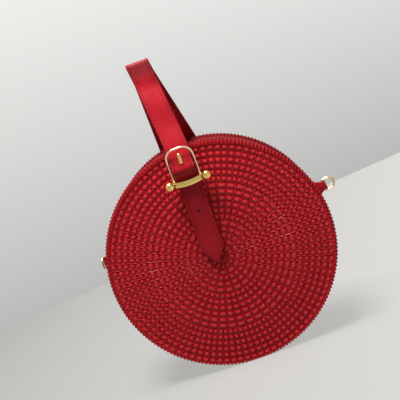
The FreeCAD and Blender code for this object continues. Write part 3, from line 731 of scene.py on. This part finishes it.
def edgeStitches(name, path, centre, half):
    # two rows of stitches in the groove inside the border
    along = unit(np.gradient(path, axis=0))
    length = runLength(path)
    at = np.arange(strap["stitchSkip"], length[-1] - strap["stitchSkip"], strap["stitchGap"])
    y, z, ty, tz = (np.interp(at, length, column) for column in (*path.T, *along.T))
    outward = np.stack([0 * tz, -tz, ty], -1)
    lift = strap["stitchRise"] * strap["thickness"]
    rows = []
    for side in (-1, 1):
        x = centre + side * np.maximum(half - strap["borderWidth"], strap["stitchLeast"])
        tx = np.interp(at, length, np.gradient(x, length))
        centres = np.stack([np.interp(at, length, x), y - tz * lift, axisZ + z + ty * lift], -1)
        slant = np.stack([tx, ty, tz], -1) / np.sqrt(1 + tx ** 2)[:, None]
        rows.append(stitchRow(centres, slant, outward, strap["stitchLength"], strap["stitchThick"]))
    return makePiece(name, *joinParts(rows), redThread, None, "red_leather")


def frontLength(path):
    # from the tail's point to the fold, with a slow wave between buckle and fold; it bends over the buckle
    z = path[:, 1]
    held = smoothStep(z, *strap["waveIn"]) * (1 - smoothStep(z, *strap["waveOut"]))
    wave = np.sin(fullTurn * (z - strap["waveTop"]) / strap["waveLength"])
    path = np.stack([path[:, 0] + held * strap["waveDepth"] * wave, z], -1)
    full, tip = strap["halfWidth"], strap["tipHalf"]
    half = np.minimum(full, tip + (full - tip) * runLength(path) / strap["pointLength"])
    centre = leanShift(z)
    for piece in (strapPiece("strapFront", path, centre, half, ("strap_tail", "handle_front_leg")),
                  edgeStitches("strapFrontStitches", path, centre, half)):
        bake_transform(piece)


def backLength(path):
    # from the fold to the rounded end sewn on the back disc, wider towards the foot; it bends at the back rim
    z = path[:, 1]
    top = strap["flareTop"]
    down = np.clip((top - z) / (top - strap["footHeight"]), 0, 1)
    topShift = leanShift(top)
    centre = np.where(down > 0, topShift + (strap["footShift"] - topShift) * down, leanShift(z))
    left = np.linalg.norm(path - path[-1], axis=1)
    half = strap["halfWidth"] + (strap["footHalf"] - strap["halfWidth"]) * down
    half = half * (0.5 + 0.5 * np.sqrt(np.clip(left / strap["endRound"], 0, 1)))
    for piece in (strapPiece("strapBack", path, centre, half, ("handle_back_leg", "handle_base")),
                  edgeStitches("strapBackStitches", path, centre, half)):
        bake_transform(piece)


def strapHole(path):
    # a dark rim and floor on the tail, painted shade in the punched hole: circles of a share of the radius,
    # each at its height over the face
    i = np.argmin(np.abs(path[:len(path) // 2, 1] - strap["hole"]))
    depthStep, heightStep = unit(path[i + 1] - path[i])
    outward = np.array([0, -heightStep, depthStep])
    a = circleAngles(strap["holeSides"])[:, None]
    disc = np.cos(a) * (1, 0, 0) + np.sin(a) * (0, depthStep, heightStep)
    lift = outward * strap["middleRise"] * strap["thickness"]
    spot = lift + (strap["shift"], path[i, 0], axisZ + path[i, 1])
    rounds = [spot + disc * strap["holeRadius"] * share + outward * height
              for share, height in strap["holeRounds"]]
    makePiece("strapHole", rounds, loftFaces(len(rounds), len(a)), punchedHoleShade, "front_shell", "red_leather")


strapPath = roundedPath(strap["corners"], strap["radii"], strap["step"])
fold = np.argmax(strapPath[:, 1])
frontLength(strapPath[:fold + 1])
backLength(strapPath[fold:])
strapHole(strapPath[:fold + 1])
print("strap and handle made")


# Buckle

buckle = {
    "y": -39.849, "bar": 79.5, "bit": 67.3, "top": 95.0, "half": 10.75, "forward": 4.418,
    "wire": 0.85, "corner": 8.2, "sideBend": 3.0, "sunk": 0.6,
    "bitHeight": 4.7, "bitThick": 2.0, "bitHalf": 11.2, "bitSag": 1.3, "bitPower": 0.32, "bitGrid": (41, 24),
    "neckDepth": 0.12, "neckPlace": 2.0, "neckWidth": 0.5, "collar": 1.55, "collarWire": 0.55,
    "ball": 3.9, "ballAt": 15.25, "ballGrid": (36, 18),
    "prongWidth": 2.8, "prongThick": 1.6, "prongStart": (-1.4, 0.6), "knee": (-44.674, 83.485),
    "kneeRadius": 1.2, "tip": (-41.832, 90.7), "tipShare": 0.85, "tipPower": 0.7,
    "tipRound": 0.05, "tipLeast": 0.12, "eye": 1.58, "eyeWall": 0.5,
    "loop": ((-32.62, 46.0), (-32.62, 70.0), (-39.1, 81.9), (-42.3, 79.6), (-33.72, 70.0), (-33.72, 46.0)),
    "loopRadii": (0, 2.0, 1.3, 1.3, 2.0, 0), "loopAside": 3.9, "loopSection": (0.5, 2.05),
}


def buckleSpot(aside, height):
    # a point in the buckle's plane, aside from the strap's middle, at one of its heights
    return strap["shift"] + aside, buckle["y"], axisZ + buckle[height]


def framePiece():
    # round wire bent to a horseshoe, its upper half leaning forward over the strap
    y, topY = buckle["y"], buckle["y"] - buckle["forward"]
    low = axisZ + buckle["bit"] + buckle["bitHeight"] / 2 - buckle["sunk"]
    bar, top = axisZ + buckle["bar"], axisZ + buckle["top"]
    left, right = strap["shift"] - buckle["half"], strap["shift"] + buckle["half"]
    corners = [(left, y, low), (left, y, bar), (left, topY, top),
               (right, topY, top), (right, y, bar), (right, y, low)]
    side, corner = buckle["sideBend"], buckle["corner"]
    path = roundedPath(corners, (0, side, corner, corner, side, 0), step=0.8)
    wire = tubePart(path, (0, 1, 0), buckle["wire"], sides=16)
    makePiece("buckleFrame", *wire, highlightCreamGold, "buckle", "pale_gold", ("buckle_frame",))


def boxy(values):
    # a circle's coordinate pushed out towards a square's: its size to a small power, with its sign
    return np.sign(values) * np.abs(values) ** buckle["bitPower"]


def bitPieces():
    # a flat bar, rounded in section, bowed down in the middle and necked near its ends, with a collar on each
    half = buckle["bitHalf"]
    rows, columns = buckle["bitGrid"]
    x = np.linspace(-half, half, rows)[:, None]
    a = circleAngles(columns)
    sag = buckle["bitSag"] * (1 - (x / half) ** 2)
    neck = np.exp(-((np.abs(x) - half + buckle["neckPlace"]) / buckle["neckWidth"]) ** 2)
    tall = buckle["bitHeight"] / 2 * (1 - buckle["neckDepth"] * neck)
    y = buckle["y"] + buckle["bitThick"] / 2 * boxy(np.cos(a)) + 0 * x
    z = axisZ + buckle["bit"] - sag + tall * boxy(np.sin(a))
    points = np.stack([strap["shift"] + x + 0 * a, y, z], -1)
    makePiece("bitBar", points, loftFaces(rows, columns), paleGold, "buckle", "pale_gold", ("bit_bar",))
    collars = []
    for side in (-1, 1):
        hoop = hoopPath(*buckleSpot(side * half, "bit"), buckle["collar"], count=40)
        collars.append(tubePart(hoop, (1, 0, 0), buckle["collarWire"], sides=10, closed=True))
    # the collars carry the dark gold of painted shade
    makePiece("bitCollars", *joinParts(collars), collarShadeGold, "buckle", "pale_gold")


def ballPieces():
    # two turned balls
    balls = [ballPart(buckleSpot(side * buckle["ballAt"], "bit"), buckle["ball"], *buckle["ballGrid"])
             for side in (-1, 1)]
    makePiece("bitBalls", *joinParts(balls), paleGold, "buckle", "pale_gold", ("ball_ends",))


def prongPiece():
    # an oval rod from the centre bar through the strap and up its face, thinner towards the tip, on an eye
    depth, height = buckle["prongStart"]
    corners = [(buckle["y"] + depth, buckle["bar"] + height), buckle["knee"], buckle["tip"]]
    path = standPath(roundedPath(corners, (0, buckle["kneeRadius"], 0), step=0.5), strap["shift"])
    left = np.linspace(1, 0, len(path))
    taper = buckle["tipShare"] + (1 - buckle["tipShare"]) * left ** buckle["tipPower"]
    taper = taper * np.sqrt(np.clip(left / buckle["tipRound"], buckle["tipLeast"], 1))
    wide = buckle["prongWidth"] / 2
    rod = tubePart(path, (1, 0, 0), (buckle["prongThick"] / 2 * taper, wide * taper), sides=14)
    hoop = hoopPath(*buckleSpot(0, "bar"), buckle["eye"], count=28)
    eye = tubePart(hoop, (1, 0, 0), (buckle["eyeWall"], wide), sides=12, closed=True)
    makePiece("buckleProng", *joinParts([rod, eye]), paleGold, "prong_tongue", "pale_gold", ("prong",))


def loopPiece():
    # a leather strip up the disc, round the centre bar and back, in two halves with a gap for the prong
    path = roundedPath(buckle["loop"], buckle["loopRadii"], step=0.8)
    halves = [tubePart(standPath(path, strap["shift"] + side * buckle["loopAside"]), (1, 0, 0),
                       buckle["loopSection"], sides=12) for side in (-1, 1)]
    makePiece("buckleLoop", *joinParts(halves), strapRed, "front_shell", "red_leather", ("buckle_loop",))


framePiece()
bitPieces()
ballPieces()
prongPiece()
loopPiece()
print("buckle made")


# Strap rings and tabs, made at the top of the drum and turned to their places

rings = {
    "angle": 81.0, "y": 24.65, "bar": 103.0, "half": 5.0, "reach": 9.7, "corner": 1.8, "wire": 1.0,
    "leftSwing": 78.0, "nearlyRound": 0.999,
    "tabSpread": 1.8, "tabThick": 1.0, "tabHalf": 3.6, "tabBaseHalf": 8.5, "tabLow": 92.05, "tabNeck": 1.0,
    "tabPress": 0.35, "pressPower": 0.6, "tabLean": 0.5,
    # a tab's section: share of the half width, share of the thickness, edge mark
    "section": ((1, 0, 1), (0.97, 0.4, 0.6), (0.85, 0.5, 0), (0, 0.5, 0), (-0.85, 0.5, 0), (-0.97, 0.4, 0.6),
                (-1, 0, 1), (-0.97, -0.4, 0.6), (-0.85, -0.5, 0), (0, -0.5, 0), (0.85, -0.5, 0),
                (0.97, -0.4, 0.6)),
}


def ringPiece(name, side, swing, body, node):
    # round wire bent to a D, swung about its bar
    bar, half = rings["bar"], rings["half"]
    far, bow = bar + rings["reach"], half * rings["nearlyRound"]
    corners = [(0, bar), (half, bar), (half, far), (-half, far), (-half, bar)]
    path = roundedPath(corners, (0, rings["corner"], bow, bow, rings["corner"]), step=0.7, closed=True)
    a = np.radians(swing)
    rise = path[:, 1] - bar
    path = np.stack([path[:, 0], rings["y"] - rise * np.sin(a), axisZ + bar + rise * np.cos(a)], -1)
    points, faces = tubePart(path, (0, -np.cos(a), -np.sin(a)), rings["wire"], sides=14, closed=True)
    makePiece(name, turnDrum(points, side * rings["angle"]), faces, highlightCreamGold, body, "pale_gold", (node,))


def tabPiece(name, side, node):
    # a leather tab folded over the ring's bar, wider at the seam, its two layers pressed together there
    y, spread, foot = rings["y"], rings["tabSpread"], rings["tabLow"]
    top, neck = rings["bar"] + spread, rings["bar"] - rings["tabNeck"]
    bow = spread * rings["nearlyRound"]
    corners = [(y - spread, foot), (y - spread, top), (y + spread, top), (y + spread, foot)]
    path = roundedPath(corners, (0, bow, bow, 0), step=0.6)
    low = np.clip((neck - path[:, 1]) / (neck - foot), 0, 1)
    half = rings["tabHalf"] + (rings["tabBaseHalf"] - rings["tabHalf"]) * low
    pressed = 1 - rings["tabPress"] * low ** rings["pressPower"]
    path[:, 0] = y + (path[:, 0] - y) * pressed + rings["tabLean"] * low
    path = standPath(path, 0.0)
    outward = np.cross(unit(np.gradient(path, axis=0)), (1, 0, 0))
    across, rise, mark = np.array(rings["section"]).T
    points = path[:, None] + outward[:, None] * rise[:, None] * rings["tabThick"]
    points[..., 0] += half[:, None] * across
    points = turnDrum(points, side * rings["angle"])
    makePiece(name, points, loftFaces(len(path), len(across)), strapRed, "bag_body", "red_leather", (node,),
              {"edge": np.tile(mark, len(path))}, sharp=60.0)


ringPiece("ringLeft", -1, rings["leftSwing"], "left_strap_ring", "left_ring")
ringPiece("ringRight", 1, 0.0, "right_strap_ring", "right_ring")
tabPiece("tabLeft", -1, "left_tab")
tabPiece("tabRight", 1, "right_tab")
print("rings and tabs made")


# CAD nodes that stay

goldNodes = ("zip_teeth_front", "zip_teeth_back", "zip_stops", "zip_slider", "zip_pull", "centre_bar")
for material, nodes in ((paleGold, goldNodes), (stiffBoard, ("front_board", "back_board"))):
    for node in nodes:
        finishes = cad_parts[node].data.materials
        finishes.clear()
        finishes.append(material)


# Floor, backdrop, light and camera

studio = {
    "floor": (0.13, 0.13, 0.125), "floorGlow": ((0.25, 0.25, 0.24), (0.65, 0.635, 0.62)),
    "floorRun": ("X", -0.45, 0.45), "floorHalf": 4,
    "wall": (0.0, 0.0, 0.0), "wallGlow": ((0.49, 0.49, 0.48), (0.88, 0.88, 0.86)),
    "wallRun": ("Z", 0.0, 0.45), "wallStart": (-0.3494, 0.3822), "wallEnd": (0.3074, 0.6710),
    "wallBeyond": 5, "wallHeight": 2.5, "bounce": (0.2, 0.2, 0.2),
    "world": 0.09, "mirrored": 0.5, "beyond": 0.8,
    # place, target, size and watts of each light
    "lights": {"keyLight": ((-0.12, -0.25, 1.5), (0, 0, 0.12), 0.7, 37.0),
               "fillLight": ((0.9, -1.0, 0.7), (0, 0, 0.1), 0.9, 0.5),
               "backLight": ((-0.35, 1.15, 0.75), (0, 0, 0.1), 0.8, 4.0)},
}
shot = {
    "place": (0.03466, -0.64009, 0.23453), "right": (0.9416, 0.0048, -0.3367),
    "up": (0.3317, 0.1599, 0.9297), "back": (0.0583, -0.9871, 0.1490),
    "lens": 69.1, "sensor": 36.0, "near": 0.01,
}


def stageSheet(name, corners):
    # a plain sheet: eye and mirror see its own glow, painted light that grows brighter along one axis, with
    # the shadow on it; other light sees a dim sheet
    mesh = bpy.data.meshes.new(name)
    mesh.from_pydata(corners, [], [tuple(range(len(corners)))])
    f = Finish(name, Roughness=0.8, Specular_IOR_Level=0.1, Emission_Strength=1.0)
    ray = f.add("ShaderNodeLightPath").outputs
    kinds = ("Camera", "Glossy", "Transmission")
    eye, mirror, glass = (Num(f, ray["Is " + kind + " Ray"]) for kind in kinds)
    seen = eye.most(mirror).most(glass)
    axis, low, high = studio[name + "Run"]
    first, second = studio[name + "Glow"]
    glow = f.ramp((f.spot(axis) - low) / (high - low), [(0.0, first), (1.0, second)])
    f.set("Base Color", f.mix(seen, (*studio["bounce"], 1), (*studio[name], 1)))
    f.set("Emission Color", f.mix(seen, (0, 0, 0, 1), glow))
    clear = f.add("ShaderNodeBsdfTransparent").outputs["BSDF"]
    behind = f.add("ShaderNodeNewGeometry").outputs["Backfacing"]   # clear from behind, so it hides nothing
    both = f.add("ShaderNodeMixShader", None, {0: behind, 1: f.shader.outputs["BSDF"], 2: clear})
    f.tree.links.new(both.outputs["Shader"], f.tree.nodes["Material Output"].inputs["Surface"])
    mesh.materials.append(f.material)
    linkObject(name, mesh)


def placeMatrix(right, up, back, place):
    # three axes as columns, then the place
    return Matrix([*np.column_stack([right, up, back, place]), (0, 0, 0, 1)])


def areaLight(name, place, target, size, watts):
    # a square lamp that looks from its place at a target
    light = bpy.data.lights.new(name, "AREA")
    light.size = size
    light.energy = watts
    back = unit(np.subtract(place, target))
    right = unit(np.cross((0, 0, 1), back))
    linkObject(name, light).matrix_world = placeMatrix(right, np.cross(back, right), back, place)


def softWorld():
    # metal and the eye see a pale room, the rest gets the dim light; sockets 2 and 3 of a Mix are its values
    world = bpy.data.worlds.new("softWorld")
    world.use_nodes = True
    nodes, links = world.node_tree.nodes, world.node_tree.links
    sky = nodes["Background"].inputs
    sky["Color"].default_value = (1, 1, 1, 1)
    rays = nodes.new("ShaderNodeLightPath").outputs
    mirrored, beyond = nodes.new("ShaderNodeMix"), nodes.new("ShaderNodeMix")
    mirrored.inputs[2].default_value = studio["world"]
    mirrored.inputs[3].default_value = studio["mirrored"]
    beyond.inputs[3].default_value = studio["beyond"]
    links.new(rays["Is Glossy Ray"], mirrored.inputs[0])
    links.new(rays["Is Camera Ray"], beyond.inputs[0])
    links.new(mirrored.outputs[0], beyond.inputs[2])
    links.new(beyond.outputs[0], sky["Strength"])
    bpy.context.scene.world = world


span, height = studio["floorHalf"], studio["wallHeight"]
stageSheet("floor", [(-span, -span, 0), (span, -span, 0), (span, span, 0), (-span, span, 0)])
wallStart, wallEnd = np.array(studio["wallStart"]), np.array(studio["wallEnd"])
onward = studio["wallBeyond"] * (wallEnd - wallStart)
nearSide, farSide = wallStart - onward, wallEnd + onward
stageSheet("wall", [(*nearSide, 0), (*farSide, 0), (*farSide, height), (*nearSide, height)])
for lightName, values in studio["lights"].items():
    areaLight(lightName, *values)
softWorld()

lens = bpy.data.cameras.new("shotLens")
lens.lens = shot["lens"]
lens.sensor_width = shot["sensor"]
lens.clip_start = shot["near"]
camera = linkObject("shotCamera", lens)
camera.matrix_world = placeMatrix(shot["right"], shot["up"], shot["back"], shot["place"])
bpy.context.scene.camera = camera
bpy.context.scene.view_settings.view_transform = "Standard"
print("stage set")
